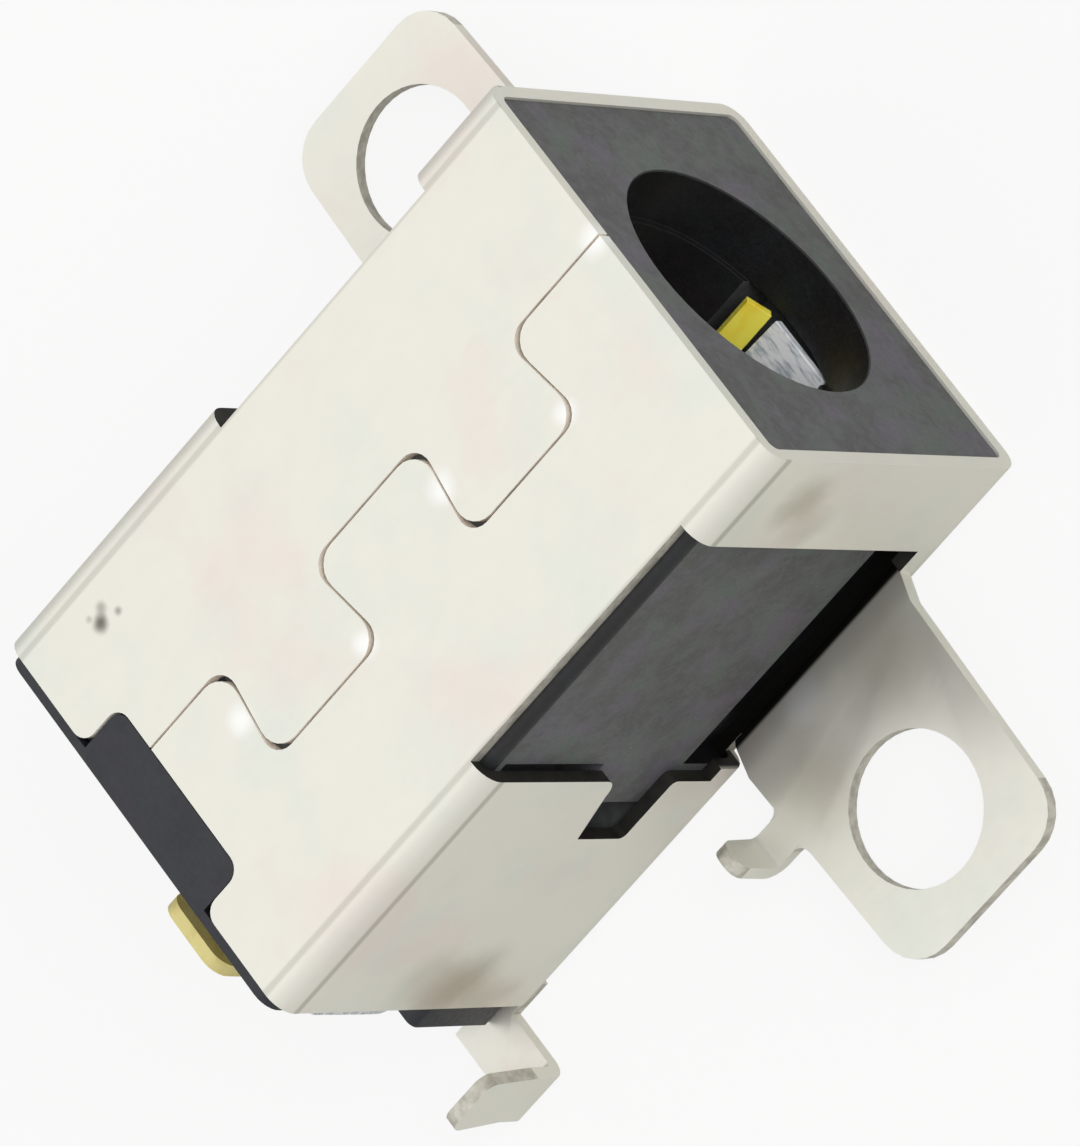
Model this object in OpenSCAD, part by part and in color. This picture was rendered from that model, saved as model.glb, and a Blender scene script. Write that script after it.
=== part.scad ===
// Shielded DC barrel jack for a sink-mounted board.
// +Z is up and the plug enters along +Y. The floor of the shield lies on Z = 0, and the origin is
// the middle of the bottom of the whole part. Distances along Y are measured from the plug face.

/* [Shield body] */
// Width of the shield across its side walls
shield_w = 9.85; // [9:0.05:11]
// Length of the shield from the plug face to its rear edge
shield_l = 15.55; // [15:0.05:18]
// Height of the shield
shield_h = 8.55; // [8:0.05:9]
// Thickness of the stamped sheet
sheet_t = 0.3; // [0.2:0.05:0.4]
// Outer radius of the folds
fold_r = 0.5; // [0.45:0.05:0.8]

/* [Dovetail seam] */
// Middle of the seam, across the top face
seam_x = -0.15; // [-0.5:0.05:0.5]
// Distance of the seam line from that middle, to one side and to the other
seam_swing = 1.1; // [0.8:0.02:1.5]
// Length of one dovetail tooth
seam_pitch = 3.13; // [2.8:0.01:3.3]
// How far each tooth flares towards its tip
seam_flare = 0.16; // [0:0.02:0.25]
// Corner radius of the teeth
seam_r = 0.42; // [0.2:0.02:0.6]
// Gap left between the two edges
seam_gap = 0.05; // [0.04:0.01:0.15]
// Extra rounding of each tooth's own corners, which leaves a crescent in its socket
tooth_ease = 0.14; // [0:0.02:0.2]

/* [Side windows] */
// Front edge of each window, behind the plug face
window_front = 2.35; // [2:0.05:2.8]
// Rear edge of each window
window_rear = 8.93; // [8.8:0.01:9.2]
// Length of the slot that the front leg was cut from
slot_l = 1.66; // [1.2:0.02:2]

/* [Ears] */
// Height of the ears' undersides above the floor of the shield
ear_z = 1.0; // [0.9:0.05:1.1]
// Distance of the ear tips from the centre
ear_reach = 11.1; // [10.9:0.05:13]
// Width of an ear at its root
ear_w = 5.15; // [4.8:0.05:5.2]
// Distance of the ear's middle behind the plug face
ear_y = 5.5; // [5.4:0.02:5.6]
// Distance between the two screw holes
screw_pitch = 17.4; // [17.2:0.05:17.8]
// Diameter of a screw hole
screw_d = 3.12; // [2:0.02:3.2]

/* [Legs] */
// Height of the shield's leg tips above its floor
leg_h = 2.5; // [2.2:0.1:4.5]
// Height of the terminals' tips above the floor
terminal_h = 3.3; // [2.4:0.1:4.5]
// Width of the blades on the ears
front_leg_w = 0.8; // [0.7:0.05:1.1]
// Width of the blades at the rear corners
rear_leg_w = 1.3; // [0.9:0.05:1.4]
// Distance of the rear blades' outer faces from the centre
rear_leg_x = 6.52; // [6.2:0.02:7.5]

/* [Plug bore] */
// Diameter of the mouth
mouth_d = 5.86; // [5.86:0.02:6.2]
// Depth of the mouth
mouth_l = 1.3; // [1:0.05:1.3]
// Diameter of the barrel behind the mouth
barrel_d = 5.54; // [5.52:0.02:5.54]
// Depth of the barrel's floor behind the plug face
barrel_l = 10.5; // [10:0.1:10.8]

/* [Contacts] */
// Diameter of the centre pin
pin_d = 2.5; // [1.6:0.05:2.5]
// Depth of the pin's tip behind the plug face
pin_tip = 2.3; // [1.9:0.1:4]
// Thickness of the terminal strips
strip_t = 0.3; // [0.2:0.05:0.3]
// Thickness of the spring leaves
leaf_t = 0.2; // [0.15:0.05:0.2]
// Width of the pin's terminal
pin_terminal_w = 2.1; // [1.6:0.1:2.2]
// Width of the two side terminals
side_terminal_w = 1.0; // [0.8:0.05:1.2]

/* [Hidden] */
$fn = 64;
eps = 0.02;              // overlap that joins two solids of one piece
cut = 1;                 // how far a cutter runs past a face
arc_steps = 6;           // straight pieces in each rounded corner

half_w = shield_w / 2;
axis_z = 4.35;           // height of the bore's axis
terminal_y = 19.2;       // rear face of the pin's terminal leg, the last point of the part

// The shield
seam_first = 2.76;       // first crossing of the seam behind the plug face
recess_front = 14.38;    // front edge of the recess at the rear of the top face
recess_x = [-2.25, 2.1]; // sides of that recess
recess_r = 0.35;
window_top_x = half_w - fold_r - 0.05;
window_floor = 0.95;     // lowest point of a window
slot_z = [2.2, 4.1];     // lower and upper edge of the leg's slot
slot_tip_z = 3.75;       // upper edge at the slot's end
slot_mouth = [0.42, 0.35]; // length and rise of the curve at the slot's upper mouth
slot_r = 0.15;
ear_taper = 0.2;         // narrowing of an ear at its tip, on each side
ear_tip_r = 1.0;
tip_arc = 88;            // degrees turned by each rounded tip corner
ear_root_x = half_w - fold_r;
ear_front = ear_y - ear_w / 2;
ear_rear = ear_y + ear_w / 2;
relief_end = 8.58;       // rear end of the cut beside each ear
crease_x = 5.65;         // crease in an ear's top, where its slope ends
slope_z = 0.6;           // start of that slope on the outer face
slope = atan((ear_z - slope_z) / (crease_x + 0.07 - half_w));
screw_y = 5.58;          // the screw holes' distance behind the plug face
leg_bend_r = 0.45;       // outer radius of a leg's bend
leg_taper = 0.92;        // width of a front leg's tip over its root
rear_tip_w = 1.38;       // width of a rear leg's tip
rear_lean = 0.16;        // how far that tip leans to the rear
leg_taper_start = 0.4;   // where that taper starts, as a share of the leg's height
leg_tip_r = 0.3;
leg_fillet = 0.27;       // fillets where a front leg leaves its ear
leg_lap = 0.4;           // how far a leg's tab runs back into its sheet
front_leg_x = 7.0;       // middle of a front leg
front_leg_y = 9.05;      // rear face of a front leg
floor_notch_x = 4.2;     // half width of the notch at the rear of the floor
floor_notch_y = 15.0;    // front edge of that notch
rear_tab_y = [15.9, 15.9 + rear_leg_w];

// The housing
body_x = half_w - sheet_t;
body_z = [sheet_t, shield_h - sheet_t];
body_r = 0.25;
face_y = 0.06;           // how far the plug face stands behind the shield's edge
back_y = 12.3;           // rear face of the housing
mouth_edge = 0.03;       // chamfer round the mouth
strip_z = 0.55;          // height of the terminal strips' undersides
rebate = [0.5, 1.8];     // depth and top of the rebate along each window
pocket_depth = 0.6;
pocket_y = [8.75, 11.4]; // the pocket behind each window
pocket_top = 7.8;
rib_z = [2.0, 4.5];      // the rib that enters the leg's slot
rib_end = 9.85;
trough_x = [-1.5, 1.28]; // sides of the trough that holds both leaves
trough_top = 1.9;        // its top, below the bore's axis

// The rear cover
cover_y = 15.77;
plate_x = 4.64;          // half width of the plate behind the shield's rear edge
plate_gap = 0.02;        // room between that plate and the edge
cover_r = 0.42;
lug_y = 16.45;
lug_top = 3.0;
lug_r = 0.2;
cavity_y = 13.2;         // rear wall of the cavity round the riveted head
cavity_top = 5.9;
pad_gap = 0.04;          // room round the pad in the recess

// The contacts
pin_shank_d = 1.6;
rivet_d = 2.0;
rivet_l = 0.35;
pin_chamfer = 0.45;
plate_r = 0.25;
terminal_taper = 0.94;
pin_terminal_r = 0.45;    // corner radius of the pin terminal's tip
pin_terminal_x = 0.18;   // how far its leg stands off the centre
side_terminal_r = 0.26;
terminal_run = 1.5;      // flat strip kept before a terminal's bend
side_terminal_y = 18.0;  // rear face of the two side legs
side_terminal_x = 2.45;
leaf_front = 1.35;       // front edge of both leaves
leaf_x = [-1.4, 0.28];   // sides of the sleeve spring's leaf
leaf_rise = 2.35;        // highest point of the leaf, below the bore's axis
leaf_tip_z = 2.62;       // height of its tip, below the bore's axis
leaf_crest = 4.4;        // the highest point's distance behind the plug face
leaf_crown = [0.8, 0.04]; // half length and rise of the crown
leaf_rear = 9.4;         // where the leaf springs from its strip
leaf_foot = 0.3;         // flat part of the leaf on its strip, to each side
blade_w = 0.6;           // width of the switch contact's narrow leaf
blade_tilt = 50;         // how far that leaf is turned about the bore's axis direction
blade_x = 0.65;
blade_drop = 2.42;       // its middle, below the bore's axis
sleeve_root = [leaf_x[0], leaf_x[1] - 0.3];
switch_root = [leaf_x[1] + 0.1, leaf_x[1] + 0.85];
switch_post = [0.05, 0.35]; // sides of the post that carries the narrow leaf
jog_y = [10.2, 11.7];    // where the side strips turn outwards
clear = 0.06;            // room round a strip in its tunnel

function arc(c, r, a0, a1, n = arc_steps) =
    [for (i = [0:n]) let (a = a0 + (a1 - a0) * i / n) [c[0] + r * cos(a), c[1] + r * sin(a)]];

function rounded_box(lo, hi, r) = concat(
    arc([hi[0] - r, lo[1] + r], r, -90, 0),
    arc([hi[0] - r, hi[1] - r], r, 0, 90),
    arc([lo[0] + r, hi[1] - r], r, 90, 180),
    arc([lo[0] + r, lo[1] + r], r, 180, 270));

// Puts the origin at the middle of the whole part
module placed() {
    translate([0, -terminal_y / 2, 0]) children();
}

// A box between two corners
module block(lo, hi) {
    translate(lo) cube(hi - lo);
}

// A flat shape in X and Z, drawn out along Y
module along_y(y0, y1) {
    translate([0, y1, 0]) rotate([90, 0, 0]) linear_extrude(y1 - y0) children();
}

// A flat shape in Y and Z, drawn out along X
module along_x(x0, x1) {
    translate([x0, 0, 0]) rotate([90, 0, 90]) linear_extrude(x1 - x0) children();
}

// A flat shape in X and Y, drawn up along Z
module along_z(z0, z1) {
    translate([0, 0, z0]) linear_extrude(z1 - z0) children();
}

module both_sides() {
    children();
    mirror([1, 0, 0]) children();
}

// Seam line: corners where it turns, each with the side that it turns towards
function seam_corner(i, end) =
    let (dir = i % 2 == 0 ? 1 : -1)
    [seam_x + dir * (end == 0 ? 1 : -1) * seam_swing,
     seam_first + i * seam_pitch + (end == 0 ? 1 : -1) * seam_flare];

function seam_corners() = concat(
    [[seam_x + seam_swing, -cut]],
    [for (i = [0:3]) each [seam_corner(i, 0), seam_corner(i, 1)]],
    [[seam_x + seam_swing, shield_l + cut]]);

function unit(v) = v / norm(v);
function left_of(v) = [-v[1], v[0]];

// Points of a path with its corners rounded to radius r, moved sideways by side.
// The corners that stick out on that side are rounded by a further ease.
function rounded_path(p, r, side, ease) = [
    for (i = [0:len(p) - 1])
        if (i == 0 || i == len(p) - 1)
            p[i] + side * left_of(unit(i == 0 ? p[1] - p[0] : p[i] - p[i - 1]))
        else
            let (a = unit(p[i] - p[i - 1]), b = unit(p[i + 1] - p[i]),
                 turn = a[0] * b[1] - a[1] * b[0] > 0 ? 1 : -1,
                 angle = acos(a * b), r_here = r + (turn * side > 0 ? ease : 0),
                 c = p[i] - r_here * tan(angle / 2) * a + turn * r_here * left_of(a),
                 start = atan2(-turn * left_of(a)[1], -turn * left_of(a)[0]))
            each arc(c, r_here - turn * side, start, start + turn * angle)];

function reversed(p) = [for (i = [len(p) - 1:-1:0]) p[i]];

module seam_cutter() {
    path = seam_corners();
    along_z(shield_h - sheet_t - cut / 2, shield_h + cut)
        polygon(concat(rounded_path(path, seam_r, -seam_gap / 2, tooth_ease),
                       reversed(rounded_path(path, seam_r, seam_gap / 2, tooth_ease))));
}

// Tube with folded corners, before anything is cut from it
module folded_tube() {
    along_y(0, shield_l)
        difference() {
            polygon(rounded_box([-half_w, 0], [half_w, shield_h], fold_r));
            polygon(rounded_box([-body_x, body_z[0]], [body_x, body_z[1]], fold_r - sheet_t));
        }
}

// The recess in the rear edge of the top face
module recess_cutter() {
    along_z(shield_h - sheet_t - cut / 2, shield_h + cut)
        polygon(concat(
            arc([recess_x[0] + recess_r, recess_front + recess_r], recess_r, 180, 270),
            arc([recess_x[1] - recess_r, recess_front + recess_r], recess_r, 270, 360),
            arc([recess_x[1] + recess_r, shield_l - recess_r], recess_r, 180, 90),
            [[recess_x[1] + recess_r, shield_l + cut], [recess_x[0] - recess_r, shield_l + cut]],
            arc([recess_x[0] - recess_r, shield_l - recess_r], recess_r, 90, 0)));
}

// Outline of a window and of the leg's slot in its rear edge, in Y and Z
module window_outline() {
    tip = window_rear + slot_l;
    mouth_z = slot_z[1] + slot_mouth[1];
    polygon(concat(
        [[window_front, window_floor], [window_rear, window_floor]],
        arc([window_rear + slot_r, slot_z[0] - slot_r], slot_r, 180, 90),
        arc([tip - slot_r, slot_z[0] + slot_r], slot_r, 270, 360),
        [[tip, slot_tip_z]],
        [for (a = [270:-15:180]) [window_rear + slot_mouth[0] * (1 + cos(a)),
                                  mouth_z + slot_mouth[1] * sin(a)]],
        [[window_rear, shield_h + cut], [window_front, shield_h + cut]]));
}

module window_cutter() {
    along_x(window_top_x, half_w + cut) window_outline();
    // the fold is cut away where the ear's own sheet comes out, and for a relief behind it
    block([ear_root_x, ear_front, -cut], [half_w + cut, relief_end, window_floor + eps]);
}

// Section of an ear: the floor's fold, the slope and the flat plate, in X and Z
module ear_section() {
    rise = sheet_t / cos(slope);
    top_z = slope_z + rise;                       // the slope's top, over the outer face
    polygon(concat(
        [[ear_root_x - eps, 0]],
        arc([ear_root_x, fold_r], fold_r, -90, 0),
        [[half_w, slope_z], [crease_x + 0.07, ear_z], [ear_reach + cut, ear_z],
         [ear_reach + cut, ear_z + sheet_t], [crease_x, ear_z + sheet_t],
         [half_w - sheet_t / 2, top_z - sheet_t / 2 * tan(slope)],
         [body_x, top_z - sheet_t * tan(slope) - 0.06]],
        arc([ear_root_x, fold_r], fold_r - sheet_t, 0, -90),
        [[ear_root_x - eps, sheet_t]]));
}

module ear() {
    difference() {
        intersection() {
            along_y(ear_front - cut, ear_rear + cut) ear_section();
            along_z(-cut, ear_z + sheet_t + cut)
                polygon(concat(
                    [[ear_root_x - 2 * eps, ear_front], [half_w, ear_front]],
                    arc([ear_reach - ear_tip_r, ear_front + ear_taper + ear_tip_r], ear_tip_r, -tip_arc, 0),
                    arc([ear_reach - ear_tip_r, ear_rear - ear_taper - ear_tip_r], ear_tip_r, 0, tip_arc),
                    [[half_w, ear_rear], [ear_root_x - 2 * eps, ear_rear]]));
        }
        translate([screw_pitch / 2, screw_y, ear_z - cut]) cylinder(d = screw_d, h = sheet_t + 2 * cut);
    }
}

// Bent strip: a flat run along U, a bend and an upright blade, in U and height.
// end is the outer face of the blade.
module bent_profile(u0, end, h, t, z0 = 0, r = leg_bend_r) {
    polygon(concat(
        [[u0, z0]],
        arc([end - r, z0 + r], r, -90, 0),
        [[end, h], [end - t, h]],
        arc([end - r, z0 + r], r - t, 0, -90),
        [[u0, z0 + t]]));
}

// Outline of a blade with a tip tip_w wide and rounded, across its width and up its height.
// The tip may stand off the root's middle by lean.
module blade_outline(w, h, tip_w, r, lean = 0) {
    polygon(concat(
        [[-w / 2, -cut], [w / 2, -cut], [w / 2, h * leg_taper_start]],
        arc([lean + tip_w / 2 - r, h - r], r, 0, 90),
        arc([lean + r - tip_w / 2, h - r], r, 90, 180),
        [[-w / 2, h * leg_taper_start]]));
}

module front_leg() {
    edge_x = front_leg_w / 2 + leg_fillet;
    translate([front_leg_x, 0, 0]) {
        intersection() {
            along_x(-front_leg_w, front_leg_w)
                bent_profile(ear_rear - ear_taper - leg_lap, front_leg_y, leg_h, sheet_t, ear_z);
            along_y(ear_rear - cut, front_leg_y + cut)
                blade_outline(front_leg_w, leg_h, front_leg_w * leg_taper, leg_tip_r);
        }
        // concave fillets where the leg's tab leaves the ear
        for (side = [-1, 1])
            along_z(ear_z, ear_z + sheet_t)
                polygon(concat(
                    [[side * (front_leg_w / 2 - eps), ear_rear - leg_lap],
                     [side * edge_x, ear_rear - leg_lap]],
                    arc([side * edge_x, ear_rear - ear_taper / 2 + leg_fillet], leg_fillet,
                        -90, side > 0 ? -180 : 0)));
    }
}

module rear_leg() {
    intersection() {
        along_y(rear_tab_y[0], rear_tab_y[1] + rear_lean + rear_tip_w - rear_leg_w)
            bent_profile(floor_notch_x + leg_lap, rear_leg_x, leg_h, sheet_t);
        along_x(floor_notch_x, rear_leg_x + cut)
            translate([(rear_tab_y[0] + rear_tab_y[1]) / 2, 0])
                blade_outline(rear_leg_w, leg_h, rear_tip_w, leg_tip_r, rear_lean);
    }
    // floor behind the side wall that carries the tab
    block([floor_notch_x, floor_notch_y, 0], [half_w - leg_lap / 4, rear_tab_y[1], sheet_t]);
}

module floor_notch_cutter() {
    block([-floor_notch_x, floor_notch_y, -cut], [floor_notch_x, shield_l + cut, sheet_t + eps]);
}

module shield_shell() {
    color([0.80, 0.79, 0.76])
        placed() {
            difference() {
                folded_tube();
                seam_cutter();
                recess_cutter();
                both_sides() window_cutter();
                floor_notch_cutter();
            }
            both_sides() {
                ear();
                front_leg();
                rear_leg();
            }
        }
}

// Plan of a side terminal's strip, from the leaf's root to its leg
module side_strip_plan(x_root, side, y_end, grow = 0) {
    xo = side_terminal_x * side;
    w = side_terminal_w / 2 + grow;
    polygon([[x_root[0] - grow, leaf_rear - grow], [x_root[1] + grow, leaf_rear - grow],
             [x_root[1] + grow, jog_y[0]], [xo + w, jog_y[1]], [xo + w, y_end],
             [xo - w, y_end], [xo - w, jog_y[1]], [x_root[0] - grow, jog_y[0]]]);
}

module strip_tunnels(y_end) {
    along_z(strip_z, strip_z + strip_t) {
        side_strip_plan(sleeve_root, -1, y_end, clear);
        side_strip_plan(switch_root, 1, y_end, clear);
    }
}

module bore() {
    rotate([-90, 0, 0]) {
        cylinder(d = mouth_d, h = mouth_l);
        cylinder(d = barrel_d, h = barrel_l);
        translate([0, 0, -cut]) cylinder(d1 = mouth_d + 2 * (mouth_edge + cut),
                                         d2 = mouth_d, h = mouth_edge + face_y + cut);
        cylinder(d = pin_shank_d, h = back_y + cut);
    }
}

module housing() {
    color([0.16, 0.16, 0.17])
        placed() difference() {
            along_y(face_y, back_y)
                polygon(rounded_box([-body_x, body_z[0]], [body_x, body_z[1]], body_r));
            translate([0, 0, axis_z]) bore();
            // trough under the bore that holds both leaves
            block([trough_x[0], mouth_l, strip_z], [trough_x[1], jog_y[0], axis_z - trough_top]);
            strip_tunnels(back_y + cut);
            both_sides() {
                // rebate beside the ear, under the window
                block([body_x - rebate[0], window_front + clear, body_z[0] - cut],
                      [body_x + cut, pocket_y[0], rebate[1]]);
                // pocket behind the window, above the rib
                block([body_x - pocket_depth, pocket_y[0], rib_z[1]],
                      [body_x + cut, pocket_y[1], pocket_top]);
                // pocket behind the rib
                block([body_x - pocket_depth, rib_end, rib_z[0]],
                      [body_x + cut, pocket_y[1], rib_z[1] + eps]);
            }
        }
}

module rear_cover() {
    tunnel_x = pin_terminal_w / 2 + clear;
    color([0.12, 0.12, 0.13])
        placed() difference() {
            union() {
                along_y(back_y, shield_l)
                    polygon(rounded_box([-body_x, body_z[0]], [body_x, body_z[1]], body_r));
                // plate behind the shield's rear edge, joined to the body by a neck
                along_y(shield_l - eps, shield_l + plate_gap + eps)
                    polygon(rounded_box([-body_x + clear, body_z[0]],
                                        [body_x - clear, body_z[1] - clear], cover_r));
                along_y(shield_l + plate_gap, cover_y)
                    polygon(rounded_box([-plate_x, body_z[0]],
                                        [plate_x, shield_h - pad_gap], cover_r));
                along_y(shield_l - eps, lug_y)
                    polygon(rounded_box([-body_x, body_z[0]], [body_x, lug_top], lug_r));
                // pad that fills the recess of the shield's top face
                recess_pad();
            }
            block([-tunnel_x, back_y - cut, strip_z],
                  [tunnel_x + pin_terminal_x, cavity_y, cavity_top]);
            block([pin_terminal_x - tunnel_x, back_y - cut, strip_z],
                  [pin_terminal_x + tunnel_x, lug_y + cut, strip_z + strip_t]);
            strip_tunnels(lug_y + cut);
        }
}

module recess_pad() {
    along_z(body_z[1] - leg_lap, shield_h - pad_gap)
        polygon(concat(
            arc([recess_x[0] + recess_r, recess_front + recess_r], recess_r - pad_gap, 180, 270),
            arc([recess_x[1] - recess_r, recess_front + recess_r], recess_r - pad_gap, 270, 360),
            [[recess_x[1] - pad_gap, shield_l + plate_gap + eps],
             [recess_x[0] + pad_gap, shield_l + plate_gap + eps]]));
}

module centre_pin() {
    color([0.78, 0.77, 0.74])
        placed() translate([0, 0, axis_z]) rotate([-90, 0, 0]) {
            translate([0, 0, pin_tip])
                cylinder(d1 = pin_d - 2 * pin_chamfer, d2 = pin_d, h = pin_chamfer);
            translate([0, 0, pin_tip + pin_chamfer])
                cylinder(d = pin_d, h = barrel_l - pin_tip - pin_chamfer);
            translate([0, 0, barrel_l - eps])
                cylinder(d = pin_shank_d, h = back_y + strip_t - barrel_l + 2 * eps);
            translate([0, 0, back_y + strip_t]) cylinder(d = rivet_d, h = rivet_l);
        }
}

// Leg at the end of a terminal strip
module terminal_leg(w, y_end, r) {
    intersection() {
        along_x(-w / 2, w / 2) bent_profile(y_end - terminal_run, y_end, terminal_h, strip_t, strip_z);
        along_y(y_end - 2 * terminal_run, y_end + cut)
            blade_outline(w, terminal_h, w * terminal_taper, r);
    }
}

module pin_terminal() {
    w = pin_terminal_w;
    color([0.85, 0.68, 0.22])
        placed() difference() {
            union() {
                // plate behind the housing, riveted to the pin
                along_y(back_y, back_y + strip_t)
                    polygon(rounded_box([-w / 2, strip_z], [w / 2, axis_z + w / 2], plate_r));
                translate([pin_terminal_x, 0, 0]) {
                    block([-w / 2, back_y + strip_t / 2, strip_z],
                          [w / 2, terminal_y - terminal_run, strip_z + strip_t]);
                    terminal_leg(w, terminal_y, pin_terminal_r);
                }
            }
            translate([0, back_y - cut, axis_z]) rotate([-90, 0, 0])
                cylinder(d = pin_shank_d, h = strip_t + 2 * cut);
        }
}

module side_terminal(x_root, side) {
    along_z(strip_z, strip_z + strip_t)
        side_strip_plan(x_root, side, side_terminal_y - terminal_run + eps);
    translate([side * side_terminal_x, 0, 0])
        terminal_leg(side_terminal_w, side_terminal_y, side_terminal_r);
}

// Side view of the sleeve spring's leaf: up from its strip, along the bore and down to its tip
module leaf_profile() {
    crest = axis_z - leaf_rise;
    mid = [[leaf_rear + leaf_foot, strip_z + leaf_t], [leaf_rear - leaf_foot, strip_z + leaf_t],
           [leaf_rear - 4 * leaf_foot, strip_z + 2 * leaf_t],
           [leaf_crest + leaf_crown[0], crest - leaf_crown[1]], [leaf_crest, crest],
           [leaf_crest - leaf_crown[0], crest - leaf_crown[1]], [leaf_front, axis_z - leaf_tip_z]];
    polygon(concat(mid, reversed([for (p = mid) p - [0, leaf_t]])));
}

module sleeve_spring() {
    color([0.82, 0.82, 0.80])
        placed() {
            along_x(leaf_x[0], leaf_x[1]) leaf_profile();
            side_terminal(sleeve_root, -1);
        }
}

module switch_contact() {
    h = leaf_t / 2;
    color([0.88, 0.72, 0.20])
        placed() {
            translate([blade_x, 0, axis_z - blade_drop]) rotate([0, -blade_tilt, 0])
                block([-blade_w / 2, leaf_front, -h], [blade_w / 2, leaf_rear + leaf_foot, h]);
            // post that stands the narrow leaf on its strip
            block([switch_root[0] + switch_post[0], leaf_rear, strip_z],
                  [switch_root[0] + switch_post[1], leaf_rear + 2 * leaf_foot, axis_z - blade_drop]);
            side_terminal(switch_root, 1);
        }
}

shield_shell();
housing();
rear_cover();
centre_pin();
pin_terminal();
sleeve_spring();
switch_contact();
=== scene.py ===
import math

import bmesh
import bpy
from mathutils import Matrix, Vector


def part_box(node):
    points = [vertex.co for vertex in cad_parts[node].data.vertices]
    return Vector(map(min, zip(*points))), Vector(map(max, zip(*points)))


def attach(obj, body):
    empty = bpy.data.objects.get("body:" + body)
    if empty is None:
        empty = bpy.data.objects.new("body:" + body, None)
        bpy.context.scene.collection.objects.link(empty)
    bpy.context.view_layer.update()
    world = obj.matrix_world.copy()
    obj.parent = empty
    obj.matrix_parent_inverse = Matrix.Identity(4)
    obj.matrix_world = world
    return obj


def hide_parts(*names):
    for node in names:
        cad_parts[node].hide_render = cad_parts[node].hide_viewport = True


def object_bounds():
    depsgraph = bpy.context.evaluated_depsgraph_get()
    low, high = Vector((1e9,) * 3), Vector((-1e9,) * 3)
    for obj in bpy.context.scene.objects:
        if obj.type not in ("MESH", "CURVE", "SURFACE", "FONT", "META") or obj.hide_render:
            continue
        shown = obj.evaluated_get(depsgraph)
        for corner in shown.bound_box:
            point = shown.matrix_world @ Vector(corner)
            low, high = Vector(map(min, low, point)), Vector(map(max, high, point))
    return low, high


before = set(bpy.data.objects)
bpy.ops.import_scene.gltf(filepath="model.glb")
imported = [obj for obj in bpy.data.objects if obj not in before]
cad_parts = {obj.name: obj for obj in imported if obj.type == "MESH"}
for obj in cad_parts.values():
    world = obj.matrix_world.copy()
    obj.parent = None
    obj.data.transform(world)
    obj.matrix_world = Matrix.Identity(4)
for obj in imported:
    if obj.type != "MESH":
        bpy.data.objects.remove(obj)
boxLow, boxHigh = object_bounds()
scene = bpy.context.scene
mm = 0.001
print("frame loaded:", len(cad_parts), "nodes")


# one sRGB hex colour to the linear values that the shaders take
def toLinear(hexColour):
    channels = [int(hexColour[i:i + 2], 16) / 255 for i in (1, 3, 5)]
    return [c / 12.92 if c <= 0.04045 else ((c + 0.055) / 1.055) ** 2.4 for c in channels] + [1.0]


# adds a node; an input takes a value or another node's output socket
def addNode(tree, kind, settings=None, inputs=None):
    node = tree.nodes.new(kind)
    for name, value in (settings or {}).items():
        setattr(node, name, value)
    for name, value in (inputs or {}).items():
        if isinstance(value, bpy.types.NodeSocket):
            tree.links.new(value, node.inputs[name])
        else:
            node.inputs[name].default_value = value
    return node


def newMaterial(name):
    material = bpy.data.materials.new(name)
    material.use_nodes = True
    tree = material.node_tree
    tree.nodes.clear()
    shader = addNode(tree, "ShaderNodeBsdfPrincipled")
    addNode(tree, "ShaderNodeOutputMaterial", None, {"Surface": shader.outputs[0]})
    return material, tree, shader


# patterns are laid out in millimetres: the scale of a texture is then one over its grain
def inMillimetres(tree):
    place = addNode(tree, "ShaderNodeTexCoord")
    return addNode(tree, "ShaderNodeVectorMath", {"operation": "SCALE"},
                   {0: place.outputs["Object"], "Scale": 1 / mm}).outputs[0]


# a soft round patch about one place, 1 at its middle
def patchAround(tree, where, centre, reach):
    away = addNode(tree, "ShaderNodeVectorMath", {"operation": "DISTANCE"}, {0: where, 1: centre})
    return addNode(tree, "ShaderNodeMapRange", {"interpolation_type": "SMOOTHSTEP"},
                   {"Value": away.outputs["Value"], "From Min": reach,
                    "From Max": reach * 0.1}).outputs[0]


# a soft line where one coordinate passes a level, kept to where another has reached its own
def lineWhere(tree, value, level, width, other, otherLevel):
    off = addNode(tree, "ShaderNodeMath", {"operation": "SUBTRACT"}, {0: value, 1: level})
    off = addNode(tree, "ShaderNodeMath", {"operation": "ABSOLUTE"}, {0: off.outputs[0]})
    line = addNode(tree, "ShaderNodeMapRange", {"interpolation_type": "SMOOTHSTEP"},
                   {"Value": off.outputs[0], "From Min": width, "From Max": width * 0.25})
    inside = addNode(tree, "ShaderNodeMapRange", {"interpolation_type": "SMOOTHSTEP"},
                     {"Value": other, "From Min": otherLevel - 0.06, "From Max": otherLevel - 0.02})
    return addNode(tree, "ShaderNodeMath", {"operation": "MULTIPLY"},
                   {0: line.outputs[0], 1: inside.outputs[0]}).outputs[0]


# clouds of a second colour over the first: they begin at the noise level start, are whole at full,
# and cover at most the share given
def cloudOver(tree, where, size, colour, second, start, full, share):
    noise = addNode(tree, "ShaderNodeTexNoise", None,
                    {"Vector": where, "Scale": 1 / size, "Detail": 4.0, "Roughness": 0.56})
    amount = addNode(tree, "ShaderNodeMapRange", {"interpolation_type": "SMOOTHSTEP"},
                     {"Value": noise.outputs["Fac"], "From Min": start, "From Max": full,
                      "To Max": share})
    return addNode(tree, "ShaderNodeMix", {"data_type": "RGBA"},
                   {0: amount.outputs[0], 6: colour, 7: toLinear(second)}).outputs[2]


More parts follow.
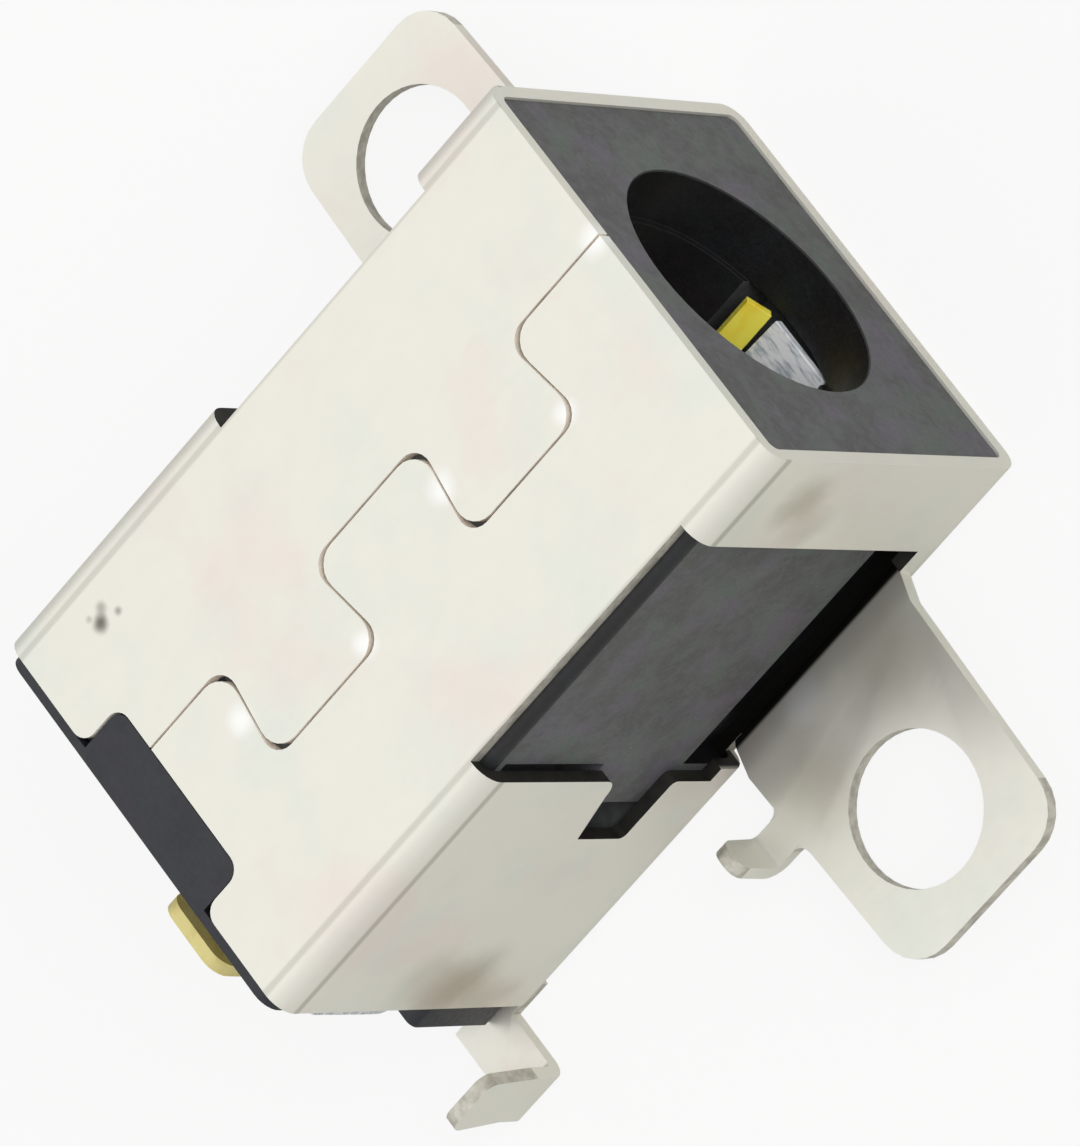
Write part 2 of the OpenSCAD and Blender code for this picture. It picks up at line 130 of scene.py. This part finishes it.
# satin nickel over cold rolled strip: soft broad reflections in a warm pale grey, a faint rolling
# grain, brown stains from handling, and painted light and shade: darker lines at both ends of each
# upper fold, an olive reflection of the housing on the ears, white glints along the seam and near
# black in the crease behind each ear
foldRadius, wallX, topZ = 0.5, 4.925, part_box("shield_shell")[1].z / mm
nickelLook = {"face": "#EFEDE2", "cool": "#E4E9E0", "warm": "#EFE4DC", "foldShadeLine": "#A39F92",
              "stainAndReflection": "#8C7B56", "spot": "#4A4434", "glintWhite": "#FFFFFC", "crease": "#1E1D19",
              "grain": 0.10, "cloud": 2.4, "roughness": 0.40, "metallic": 0.62,
              # depth and half width of the painted shade lines on the wall and on the top
              "wallShadeLine": (0.55, 0.13), "topShadeLine": (0.36, 0.11), "lineOffset": 0.03,
              # how ragged the rim of each kind of patch is
              "stainAndReflectionRagged": 0.9, "spotRagged": 0.18, "glintRagged": 0.35,
              # middle of each stain and each patch of painted reflection, how far it reaches and
              # how deep its colour is
              "stainsAndReflections": [((-wallX, -8.50, 6.35), 1.0, 0.40), ((-wallX, -7.75, 5.55), 0.9, 0.22),
                         ((-wallX, 5.30, 3.35), 1.5, 0.52), ((-wallX, 4.85, 4.7), 1.1, 0.22),
                         # the last three, on the ears near their root, are painted reflection: the
                         # olive of the dark housing mirrored in the nickel
                         ((-wallX, 5.7, 1.9), 1.1, 0.30), ((-6.1, -5.6, 1.3), 1.7, 0.30),
                         ((-6.7, -2.6, 1.3), 1.5, 0.26), ((5.6, -3.2, 1.3), 1.6, 0.22)],
              "spots": [((3.56, 4.04, topZ), 0.26, 0.80), ((3.66, 3.94, topZ), 0.20, 0.36),
                        ((3.79, 3.80, topZ), 0.20, 0.44), ((3.45, 3.56, topZ), 0.15, 0.52),
                        ((3.82, 4.18, topZ), 0.12, 0.32)],
              # painted highlights: white glints at the seam's corners and its front end, and one on
              # the near ear
              "paintedGlints": [((-0.99, -6.77, topZ), 0.42), ((-0.09, -3.70, topZ), 0.48),
                            ((-1.08, -0.33, topZ), 0.42), ((-0.1, 2.79, topZ), 0.46),
                            ((0.97, -9.45, topZ), 0.5), ((-5.25, -3.4, 1.1), 0.8)],
              # the painted crease shade fades in from the first level to the second, along each
              # direction
              "creaseEdges": [("across", 4.0, 4.1), ("across", 4.93, 4.80), ("Z", 0.12, 0.18),
                              ("Z", 1.10, 0.95), ("Y", -7.4, -7.3), ("Y", -0.5, -0.6)]}


def makeSatinNickel():
    material, tree, shader = newMaterial("satinNickel")
    where = inMillimetres(tree)
    look = nickelLook
    colour = cloudOver(tree, where, look["cloud"], toLinear(look["face"]), look["cool"],
                       0.46, 0.72, 0.6)
    shifted = addNode(tree, "ShaderNodeMapping", None,
                      {"Vector": where, "Location": (3.1, 7.7, 1.9)})
    colour = cloudOver(tree, shifted.outputs[0], look["cloud"] * 1.5, colour, look["warm"],
                       0.48, 0.70, 0.7)
    # painted shade lines along both upper folds, one at each end of the bend
    parts = addNode(tree, "ShaderNodeSeparateXYZ", None, {0: where})
    across = addNode(tree, "ShaderNodeMath", {"operation": "ABSOLUTE"}, {0: parts.outputs["X"]})
    levels = {"across": across.outputs[0], "Y": parts.outputs["Y"], "Z": parts.outputs["Z"]}
    inset = foldRadius + look["lineOffset"]
    wallDepth, wallWidth = look["wallShadeLine"]
    topDepth, topWidth = look["topShadeLine"]
    onWall = lineWhere(tree, levels["Z"], topZ - inset, wallWidth, levels["across"], wallX)
    onTop = lineWhere(tree, levels["across"], wallX - inset, topWidth, levels["Z"], topZ)
    for line, depth in ((onWall, wallDepth), (onTop, topDepth)):
        amount = addNode(tree, "ShaderNodeMath", {"operation": "MULTIPLY"}, {0: line, 1: depth})
        colour = addNode(tree, "ShaderNodeMix", {"data_type": "RGBA"},
                         {0: amount.outputs[0], 6: colour,
                          7: toLinear(look["foldShadeLine"])}).outputs[2]
    # stains have ragged edges: the place they are measured from is pushed about by a noise
    push = addNode(tree, "ShaderNodeTexNoise", None, {"Vector": where, "Scale": 0.8, "Detail": 4.0})
    push = addNode(tree, "ShaderNodeVectorMath", {"operation": "SUBTRACT"},
                   {0: push.outputs["Color"], 1: (0.5, 0.5, 0.5)})
    patches = [patch + (look["stainAndReflection"], look["stainAndReflectionRagged"]) for patch in look["stainsAndReflections"]]
    patches += [patch + (look["spot"], look["spotRagged"]) for patch in look["spots"]]
    patches += [patch + (1.0, look["glintWhite"], look["glintRagged"])
                for patch in look["paintedGlints"]]
    for centre, reach, depth, patchColour, ragged in patches:
        moved = addNode(tree, "ShaderNodeVectorMath", {"operation": "MULTIPLY_ADD"},
                        {0: push.outputs[0], 1: (ragged, ragged, ragged), 2: where})
        amount = addNode(tree, "ShaderNodeMath", {"operation": "MULTIPLY"},
                         {0: patchAround(tree, moved.outputs[0], centre, reach), 1: depth})
        colour = addNode(tree, "ShaderNodeMix", {"data_type": "RGBA"},
                         {0: amount.outputs[0], 6: colour, 7: toLinear(patchColour)}).outputs[2]
    # painted shade: the crease behind each ear, where the strip turns up from the floor, is painted
    # near black
    crease = 1.0
    for direction, outside, within in look["creaseEdges"]:
        inside = addNode(tree, "ShaderNodeMapRange", {"interpolation_type": "SMOOTHSTEP"},
                         {"Value": levels[direction], "From Min": outside, "From Max": within})
        crease = addNode(tree, "ShaderNodeMath", {"operation": "MULTIPLY"},
                         {0: inside.outputs[0], 1: crease}).outputs[0]
    colour = addNode(tree, "ShaderNodeMix", {"data_type": "RGBA"},
                     {0: crease, 6: colour, 7: toLinear(look["crease"])}).outputs[2]
    tree.links.new(colour, shader.inputs["Base Color"])
    # rolling grain runs from the mouth to the rear
    along = addNode(tree, "ShaderNodeMapping", None, {"Vector": where, "Scale": (1, 0.2, 1)})
    grain = addNode(tree, "ShaderNodeTexNoise", None,
                    {"Vector": along.outputs[0], "Scale": 1 / look["grain"], "Detail": 2.0,
                     "Roughness": 0.6})
    rough = addNode(tree, "ShaderNodeMapRange", None,
                    {"Value": grain.outputs["Fac"], "From Min": 0.3, "From Max": 0.7,
                     "To Min": look["roughness"] - 0.03, "To Max": look["roughness"] + 0.05})
    bump = addNode(tree, "ShaderNodeBump", None,
                   {"Strength": 0.10, "Distance": 0.003 * mm, "Height": grain.outputs["Fac"]})
    tree.links.new(rough.outputs[0], shader.inputs["Roughness"])
    tree.links.new(bump.outputs[0], shader.inputs["Normal"])
    shader.inputs["Metallic"].default_value = look["metallic"]
    return material


# the sheared edge of the strip: plated over a torn face, so duller and a little browner; painted
# pale and matt in the narrow seam, painted light where the slot lies in shade, and painted nearly
# black where it lines the windows, a painted shadow of the sheet's edge
edgeLook = {"face": "#D6D2C6", "dark": "#B4B0A4", "streak": 0.25, "roughness": 0.42,
            "metallic": 0.5}
seamLightLook = {"face": "#F6EEE2", "dark": "#D9CDBC", "streak": 0.9, "roughness": 0.5,
                "metallic": 0.0}
windowShadeLook = {"face": "#24231F", "dark": "#171613", "streak": 0.35, "roughness": 0.6,
                  "metallic": 0.1}


def makeSheared(name, look):
    material, tree, shader = newMaterial(name)
    colour = cloudOver(tree, inMillimetres(tree), look["streak"], toLinear(look["face"]),
                       look["dark"], 0.35, 0.70, 1.0)
    tree.links.new(colour, shader.inputs["Base Color"])
    shader.inputs["Roughness"].default_value = look["roughness"]
    shader.inputs["Metallic"].default_value = look["metallic"]
    return material


# glass filled nylon, moulded against a spark eroded tool: matt charcoal, a fine tooth, faint
# cloudy flow marks with a violet and a green cast, and a few pale fibre ends at the skin
plasticLook = {"face": "#4B4C4C", "violet": "#5B5660", "green": "#535C56", "fleck": "#9A9A9C",
               "pale": "#5F5F61", "mottle": 0.3, "tooth": 0.11, "cloud": 1.1, "roughness": 0.50,
               "fleckSize": 0.13, "fleckAt": 0.735}
# painted shade: a near black copy of the same nylon for the mouth, the corners under the folds and
# the window rebates
nylonShadeLook = {"face": "#121113", "violet": "#191619", "green": "#14181A", "fleck": "#4A4A4C",
            "pale": "#1A1A1C", "mottle": 0.3, "tooth": 0.11, "cloud": 1.3, "roughness": 0.44,
            "fleckSize": 0.13, "fleckAt": 0.755}
coverLook = {"face": "#1D1F26", "violet": "#25242B", "green": "#212629", "fleck": "#4C4C50",
             "pale": "#262830", "mottle": 0.3, "tooth": 0.11, "cloud": 1.3, "roughness": 0.46,
             "fleckSize": 0.13, "fleckAt": 0.745}


def makeNylon(name, look):
    material, tree, shader = newMaterial(name)
    where = inMillimetres(tree)
    colour = cloudOver(tree, where, look["cloud"], toLinear(look["face"]), look["violet"],
                       0.46, 0.68, 1.0)
    shifted = addNode(tree, "ShaderNodeMapping", None,
                      {"Vector": where, "Location": (5.3, 2.2, 8.1)})
    colour = cloudOver(tree, shifted.outputs[0], look["cloud"] * 0.9, colour, look["green"],
                       0.47, 0.68, 1.0)
    colour = cloudOver(tree, where, look["mottle"], colour, look["pale"], 0.42, 0.66, 0.5)
    colour = cloudOver(tree, where, look["fleckSize"], colour, look["fleck"],
                       look["fleckAt"], look["fleckAt"] + 0.06, 1.0)
    tree.links.new(colour, shader.inputs["Base Color"])
    tooth = addNode(tree, "ShaderNodeTexNoise", None,
                    {"Vector": where, "Scale": 1 / look["tooth"], "Detail": 2.0, "Roughness": 0.6})
    rough = addNode(tree, "ShaderNodeMapRange", None,
                    {"Value": tooth.outputs["Fac"], "From Min": 0.3, "From Max": 0.7,
                     "To Min": look["roughness"] - 0.05, "To Max": look["roughness"] + 0.08})
    bump = addNode(tree, "ShaderNodeBump", None,
                   {"Strength": 0.5, "Distance": 0.012 * mm, "Height": tooth.outputs["Fac"]})
    tree.links.new(rough.outputs[0], shader.inputs["Roughness"])
    tree.links.new(bump.outputs[0], shader.inputs["Normal"])
    shader.inputs["IOR"].default_value = 1.53
    return material


# matt gold flash, and plated springy strip with wiping marks across its width; in the mouth both
# look matt and evenly bright, so little of their light is a mirror's. The pin is turned and bright
goldLook = {"face": "#FFF25C", "deep": "#FFDF3C", "roughness": 0.5, "metallic": 0.0,
            "streak": 0.4, "along": (1, 0.3, 1)}
terminalLook = {"face": "#F1E49C", "deep": "#E6D68C", "roughness": 0.45, "metallic": 0.5,
                "streak": 0.4, "along": (1, 1, 1)}
springLook = {"face": "#FBFDFF", "deep": "#B4BEC8", "roughness": 0.45, "metallic": 0.2,
              "streak": 0.10, "along": (0.22, 1, 1)}
pinLook = {"face": "#C9C7C0", "deep": "#A5A299", "roughness": 0.24, "metallic": 1.0,
           "streak": 0.3, "along": (1, 0.3, 1)}


def makePlatedMetal(name, look):
    material, tree, shader = newMaterial(name)
    along = addNode(tree, "ShaderNodeMapping", None,
                    {"Vector": inMillimetres(tree), "Scale": look["along"]})
    colour = cloudOver(tree, along.outputs[0], look["streak"], toLinear(look["face"]), look["deep"],
                       0.42, 0.66, 1.0)
    tree.links.new(colour, shader.inputs["Base Color"])
    shader.inputs["Roughness"].default_value = look["roughness"]
    shader.inputs["Metallic"].default_value = look["metallic"]
    return material


satinNickel = makeSatinNickel()
shearedEdge = makeSheared("shearedStripEdge", edgeLook)
windowShadeEdge = makeSheared("windowEdgePaintedShade", windowShadeLook)
seamLightEdge = makeSheared("seamEdgePaintedLight", seamLightLook)
housingNylon = makeNylon("mouldedNylon", plasticLook)
nylonPaintedShade = makeNylon("nylonPaintedShade", nylonShadeLook)
coverNylon = makeNylon("coverNylon", coverLook)
goldFlash = makePlatedMetal("goldFlash", goldLook)
goldTerminal = makePlatedMetal("paleGoldTerminal", terminalLook)
springStrip = makePlatedMetal("springStrip", springLook)
pinPlate = makePlatedMetal("tinPlatedPin", pinLook)
print("materials made")


mending = {"mergeWithin": 0.002, "flatAngle": 0.6, "breakSegments": 2, "breakAngle": 32}


# a merged copy of a CAD node whose flats are whole faces again, so that its edges can be broken
def cleanCopy(nodeName, pieceName, finishes):
    bm = bmesh.new()
    bm.from_mesh(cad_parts[nodeName].data)
    bmesh.ops.remove_doubles(bm, verts=bm.verts, dist=mending["mergeWithin"] * mm)
    bmesh.ops.dissolve_limit(bm, angle_limit=math.radians(mending["flatAngle"]), verts=bm.verts,
                             edges=bm.edges)
    for face in bm.faces:
        face.smooth = True
    mesh = bpy.data.meshes.new(pieceName)
    bm.to_mesh(mesh)
    bm.free()
    if "custom_normal" in mesh.attributes:
        mesh.attributes.remove(mesh.attributes["custom_normal"])
    for finish in finishes:
        mesh.materials.append(finish)
    piece = bpy.data.objects.new(pieceName, mesh)
    scene.collection.objects.link(piece)
    return piece


def finishPiece(piece, nodeName, edgeBreak):
    bevel = piece.modifiers.new("brokenEdge", "BEVEL")
    bevel.width = edgeBreak * mm
    bevel.segments = mending["breakSegments"]
    bevel.limit_method = "ANGLE"
    bevel.angle_limit = math.radians(mending["breakAngle"])
    bevel.harden_normals = True
    bevel.use_clamp_overlap = True
    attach(piece, "root")
    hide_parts(nodeName)


# folded shield: the cut edges of the strip have their own finish, the window edges painted shade
# and the seam walls painted light
shield = {"sheet": 0.3, "sheetError": 0.05, "sharpCorner": 50, "edgeBreak": 0.03,
          "windowStart": -7.35, "windowEnd": 1.80, "windowFoot": 0.9, "frontRim": -9.5,
          "seamReach": 3.0}


def markCutEdges(mesh):
    # a cut edge is a face one sheet wide, between two sharp corners whose other faces look
    # opposite ways
    bm = bmesh.new()
    bm.from_mesh(mesh)
    bm.normal_update()
    count = 0
    for face in bm.faces:
        outer = []
        for edge in face.edges:
            sharp = edge.calc_face_angle(0) > math.radians(shield["sharpCorner"])
            if len(edge.link_faces) == 2 and sharp:
                outer.append([f for f in edge.link_faces if f is not face][0].normal.copy())
        for i, first in enumerate(outer):
            reach = [v.co.dot(first) / mm for v in face.verts]
            thin = abs(max(reach) - min(reach) - shield["sheet"]) < shield["sheetError"]
            if thin and any(first.dot(second) < -0.9 for second in outer[i + 1:]):
                face.material_index = 1
                count += 1
                break
        middle = face.calc_center_median() / mm
        inWall = wallX - shield["sheet"] < abs(middle.x) < wallX - 0.001
        inTop = topZ - shield["sheet"] < middle.z < topZ - 0.001
        atWindow = shield["windowStart"] < middle.y < shield["windowEnd"]
        # cut edges lining a window are painted near black, painted shade
        if inWall and atWindow and middle.z > shield["windowFoot"]:
            face.material_index = 2
        elif middle.y < shield["frontRim"]:
            face.material_index = 0  # the front rim is rolled over and looks like the face
        # the seam walls are painted pale, painted light in the narrow slot
        elif inTop and abs(middle.x) < shield["seamReach"]:
            face.material_index = 3
    bm.to_mesh(mesh)
    bm.free()
    return count


shieldPiece = cleanCopy("shield_shell", "foldedShield",
                        [satinNickel, shearedEdge, windowShadeEdge, seamLightEdge])
print("cut edges marked:", markCutEdges(shieldPiece.data))
finishPiece(shieldPiece, "shield_shell", shield["edgeBreak"])

# moulded housing: the mouth, the corners under the folds and the rebates at the foot of the windows
# are painted shade, a near black and slightly glossier copy of the nylon
housing = {"edgeBreak": 0.05, "boreReach": 3.0, "boreStart": 0.07, "cornerX": 4.37,
           "cornerZ": 8.01, "rebateX": 3.9, "rebateTop": 1.9, "rebateStart": -7.4,
           "rebateEnd": -0.5}
housingPiece = cleanCopy("housing", "mouldedHousing", [housingNylon, nylonPaintedShade])
pinLow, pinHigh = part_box("centre_pin")
boreAxis = (pinLow + pinHigh) / 2 / mm
for face in housingPiece.data.polygons:
    middle = face.center / mm
    side = abs(middle.x)
    fromAxis = math.hypot(middle.x - boreAxis.x, middle.z - boreAxis.z)
    inBore = fromAxis < housing["boreReach"] and middle.y > boxLow.y / mm + housing["boreStart"]
    inCorner = side > housing["cornerX"] and middle.z > housing["cornerZ"]
    inRebate = (side > housing["rebateX"] and middle.z < housing["rebateTop"]
                and housing["rebateStart"] < middle.y < housing["rebateEnd"])
    face.material_index = int(inBore or inCorner or inRebate)
finishPiece(housingPiece, "housing", housing["edgeBreak"])

cover = {"edgeBreak": 0.06}
coverPiece = cleanCopy("rear_cover", "rearCover", [coverNylon])
finishPiece(coverPiece, "rear_cover", cover["edgeBreak"])

# contacts: node, piece, finishes, slot and how far the edges are broken
contacts = [("centre_pin", "centrePin", [pinPlate], "plated_pin", 0.04),
            ("pin_terminal", "pinTerminal", [goldTerminal], "gold_plate", 0.03),
            ("sleeve_spring", "sleeveSpring", [springStrip], "spring_strip", 0.03),
            ("switch_contact", "switchContact", [goldFlash, goldTerminal], "gold_plate", 0.03)]
for nodeName, pieceName, finishes, slotName, edgeBreak in contacts:
    piece = cleanCopy(nodeName, pieceName, finishes)
    for face in piece.data.polygons:
        # behind the housing the flash is thinner and paler than on the leaf in the mouth
        face.material_index = int(len(finishes) > 1 and face.center.y > 0)
    finishPiece(piece, nodeName, edgeBreak)
print("pieces made")

# floor, world, lamps
studio = {"floorSize": 1.2, "floorGap": 0.00002, "floorColour": "#D2D2CF",
          # share of plain white that the lens and the reflections see in the floor
          "floorSeen": 0.88, "floorGlance": 0.10,
          # world level overhead, for the light and for reflections, and its share at the horizon
          "worldSky": 0.52, "skyHorizon": 0.75, "worldGlance": 0.82, "glanceHorizon": 0.72,
          # place, side and power of each softbox, and the point they face
          "key": ((0.30, 0.33, 0.62), 0.95, 0.75), "fill": ((-0.30, -0.42, 0.52), 0.45, 3.0),
          "aim": (0, 0, 0.004)}

floorMesh = bpy.data.meshes.new("studioFloor")
half, level = studio["floorSize"], boxLow.z - studio["floorGap"]
corners = [(-half, -half, level), (half, -half, level), (half, half, level), (-half, half, level)]
floorMesh.from_pydata(corners, [], [(0, 1, 2, 3)])
floor = bpy.data.objects.new("studioFloor", floorMesh)
scene.collection.objects.link(floor)

floorMaterial = bpy.data.materials.new("paleFloor")
floorMaterial.use_nodes = True
tree = floorMaterial.node_tree
tree.nodes.clear()
path = addNode(tree, "ShaderNodeLightPath")
glance = addNode(tree, "ShaderNodeMath", {"operation": "MAXIMUM"},
                 {0: path.outputs["Is Glossy Ray"], 1: path.outputs["Is Transmission Ray"]})
matt = addNode(tree, "ShaderNodeBsdfDiffuse", None, {"Color": toLinear(studio["floorColour"])})
glow = addNode(tree, "ShaderNodeEmission", None, {"Color": (1, 1, 1, 1), "Strength": 1.0})
glance = addNode(tree, "ShaderNodeMath", {"operation": "MULTIPLY"},
                 {0: glance.outputs[0], 1: studio["floorGlance"]})
share = addNode(tree, "ShaderNodeMath", {"operation": "MULTIPLY_ADD"},
                {0: path.outputs["Is Camera Ray"], 1: studio["floorSeen"], 2: glance.outputs[0]})
both = addNode(tree, "ShaderNodeMixShader", None,
               {0: share.outputs[0], 1: matt.outputs[0], 2: glow.outputs[0]})
addNode(tree, "ShaderNodeOutputMaterial", None, {"Surface": both.outputs[0]})
floorMesh.materials.append(floorMaterial)

world = bpy.data.worlds.new("studioWorld")
scene.world = world
world.use_nodes = True
tree = world.node_tree
tree.nodes.clear()
path = addNode(tree, "ShaderNodeLightPath")
direction = addNode(tree, "ShaderNodeTexCoord")
height = addNode(tree, "ShaderNodeSeparateXYZ", None, {0: direction.outputs["Generated"]})
skyLevel = addNode(tree, "ShaderNodeMapRange", None,
                   {"Value": height.outputs["Z"], "From Min": -0.1, "From Max": 0.9,
                    "To Min": studio["worldSky"] * studio["skyHorizon"],
                    "To Max": studio["worldSky"]})
glanceLevel = addNode(tree, "ShaderNodeMapRange", None,
                      {"Value": height.outputs["Z"], "From Min": -0.05, "From Max": 0.75,
                       "To Min": studio["worldGlance"] * studio["glanceHorizon"],
                       "To Max": studio["worldGlance"]})
glossy = addNode(tree, "ShaderNodeMix", {"data_type": "FLOAT"},
                 {0: path.outputs["Is Glossy Ray"], 2: skyLevel.outputs[0],
                  3: glanceLevel.outputs[0]})
camera = addNode(tree, "ShaderNodeMix", {"data_type": "FLOAT"},
                 {0: path.outputs["Is Camera Ray"], 2: glossy.outputs[0], 3: 1.0})
back = addNode(tree, "ShaderNodeBackground", None,
               {"Color": (1, 1, 1, 1), "Strength": camera.outputs[0]})
addNode(tree, "ShaderNodeOutputWorld", None, {"Surface": back.outputs[0]})


def addSoftbox(name, place, side, power):
    light = bpy.data.lights.new(name, "AREA")
    light.shape = "SQUARE"
    light.size = side
    light.energy = power
    lamp = bpy.data.objects.new(name, light)
    scene.collection.objects.link(lamp)
    lamp.location = place
    facing = Vector(studio["aim"]) - Vector(place)
    lamp.rotation_euler = facing.to_track_quat("-Z", "Y").to_euler()
    return lamp


addSoftbox("keySoftbox", *studio["key"])
fillLamp = addSoftbox("fillSoftbox", *studio["fill"])
fillLamp.visible_glossy = False  # it reaches into the mouth without a hot spot on the plating

# camera: the eye stands off the open end and one side, well above, and rolled on its side
eye = {"place": (-0.088648, -0.093234, 0.185270), "right": (-0.5541, -0.6038, -0.5730),
       "up": (0.7312, -0.6821, 0.0117), "lens": 379.07, "sensor": 36, "nearest": 0.01,
       "farthest": 10}
cameraData = bpy.data.cameras.new("benchCamera")
cameraData.lens = eye["lens"]
cameraData.sensor_width = eye["sensor"]
cameraData.sensor_fit = "HORIZONTAL"
cameraData.clip_start = eye["nearest"]
cameraData.clip_end = eye["farthest"]
benchCamera = bpy.data.objects.new("benchCamera", cameraData)
scene.collection.objects.link(benchCamera)
xAxis, yAxis = Vector(eye["right"]).normalized(), Vector(eye["up"]).normalized()
zAxis = xAxis.cross(yAxis).normalized()
yAxis = zAxis.cross(xAxis)
turned = Matrix((xAxis, yAxis, zAxis)).transposed().to_4x4()
benchCamera.matrix_world = Matrix.Translation(eye["place"]) @ turned
scene.camera = benchCamera
scene.view_settings.view_transform = "Standard"
print("camera and lamps placed")

print("scene ready")
